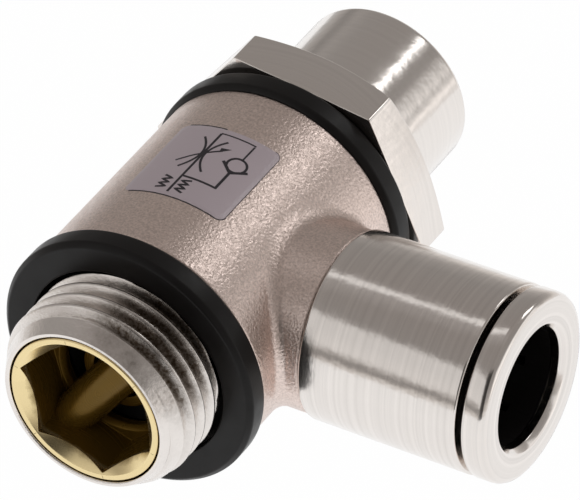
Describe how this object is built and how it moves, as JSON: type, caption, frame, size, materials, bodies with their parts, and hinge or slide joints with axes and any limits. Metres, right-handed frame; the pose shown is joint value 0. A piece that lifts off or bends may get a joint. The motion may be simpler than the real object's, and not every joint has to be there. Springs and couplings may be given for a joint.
{
  "type": "banjo flow control valve",
  "caption": "Nickel-plated banjo flow control valve: threaded hollow screw with hexagon, swivelling body with push-in tube socket, needle and check seal.",
  "frame": {"origin": "on the hollow screw's axis, in the plane of the port washer's underside, which is the port face", "axes": "+Z along the hollow screw's axis from the thread towards the hexagon and collar, +X along the branch out of the tube socket"},
  "size_m": [0.052, 0.029, 0.058],
  "materials": {
    "blasted_nickel": "nickel-plated, satin blasted",
    "turned_nickel": "nickel-plated, turned and polished",
    "brass": "bright machined",
    "black_plastic": "satin",
    "black_rubber": "matte",
    "white_plastic": "satin"
  },
  "bodies": {
    "valve_screw": {"hollow_screw": "turned_nickel", "port_washer": "black_plastic", "hex_washer": "black_plastic", "throttle_insert": "brass", "check_seal": "black_rubber", "needle_retainer": "turned_nickel"},
    "needle_carriage": {"needle_seal": "black_rubber"},
    "adjusting_needle": {"needle": "brass"},
    "banjo": {"banjo_body": "blasted_nickel", "tube_sleeve": "turned_nickel", "sleeve_seal": "black_rubber", "tube_seal": "black_rubber", "spacer_ring": "white_plastic"},
    "release_collet": {"collet": "black_plastic", "release_ring": "turned_nickel"}
  },
  "joints": [
    {"name": "banjo_swivel", "type": "hinge", "parent": "valve_screw", "child": "banjo", "pos_m": [0, 0, 0.0155], "axis": [0, 0, 1], "continuous": true},
    {"name": "needle_travel", "type": "slide", "parent": "valve_screw", "child": "needle_carriage", "axis": [0, 0, 1], "range_m": [0, 0.004]},
    {"name": "needle_turn", "type": "hinge", "parent": "needle_carriage", "child": "adjusting_needle", "pos_m": [0, 0, 0.0225], "axis": [0, 0, 1], "range_deg": [0, 1440]},
    {"name": "collet_release", "type": "slide", "parent": "banjo", "child": "release_collet", "axis": [-1, 0, 0], "range_m": [0, 0.0006], "stiffness_N_per_m": 2000, "springref_m": -0.0005}
  ],
  "couplings": [
    {"joint": "needle_travel", "follows": "needle_turn", "m_per_rad": 0.00015915}
  ]
}
